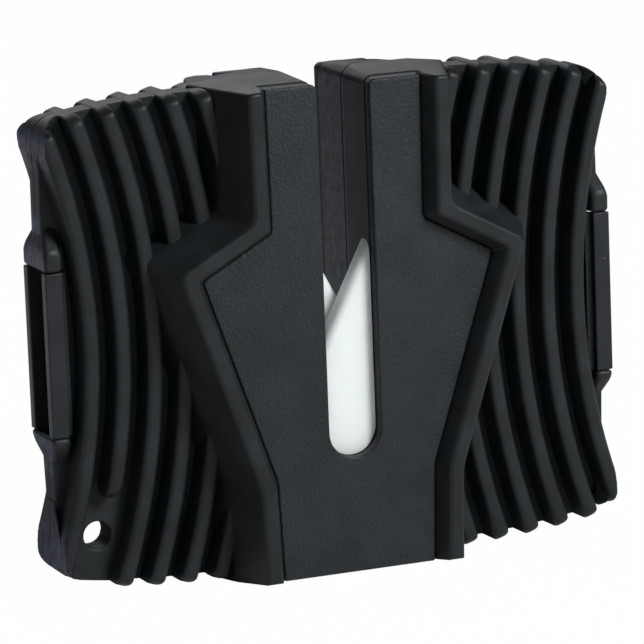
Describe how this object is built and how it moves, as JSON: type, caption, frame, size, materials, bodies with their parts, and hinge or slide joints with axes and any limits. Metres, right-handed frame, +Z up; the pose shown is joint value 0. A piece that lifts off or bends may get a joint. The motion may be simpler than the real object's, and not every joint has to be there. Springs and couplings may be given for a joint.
{
  "type": "pocket knife sharpener",
  "caption": "Pocket knife sharpener: ribbed body with a knife slot, crossed ceramic blocks, inlaid shield panels, side rail inserts and a lanyard hole.",
  "frame": {"origin": "middle of the flat land under the body, at the parting line of the two shells", "axes": "+X across the grips to the right, -Y towards the front, +Z up to the mouth of the knife slot"},
  "size_m": [0.0704, 0.021, 0.0582],
  "materials": {
    "shell": "fine-grained black moulding",
    "panel": "leather-grained charcoal moulding",
    "insert": "smooth dark grey",
    "ceramic": "fine matt white",
    "screw": "plain"
  },
  "bodies": {
    "root": {"front_shell": "shell", "rear_shell": "shell", "front_panel": "panel", "rear_panel": "panel", "front_ceramic": "ceramic", "rear_ceramic": "ceramic", "left_insert": "insert", "right_insert": "insert", "screws": "screw"}
  },
  "joints": []
}
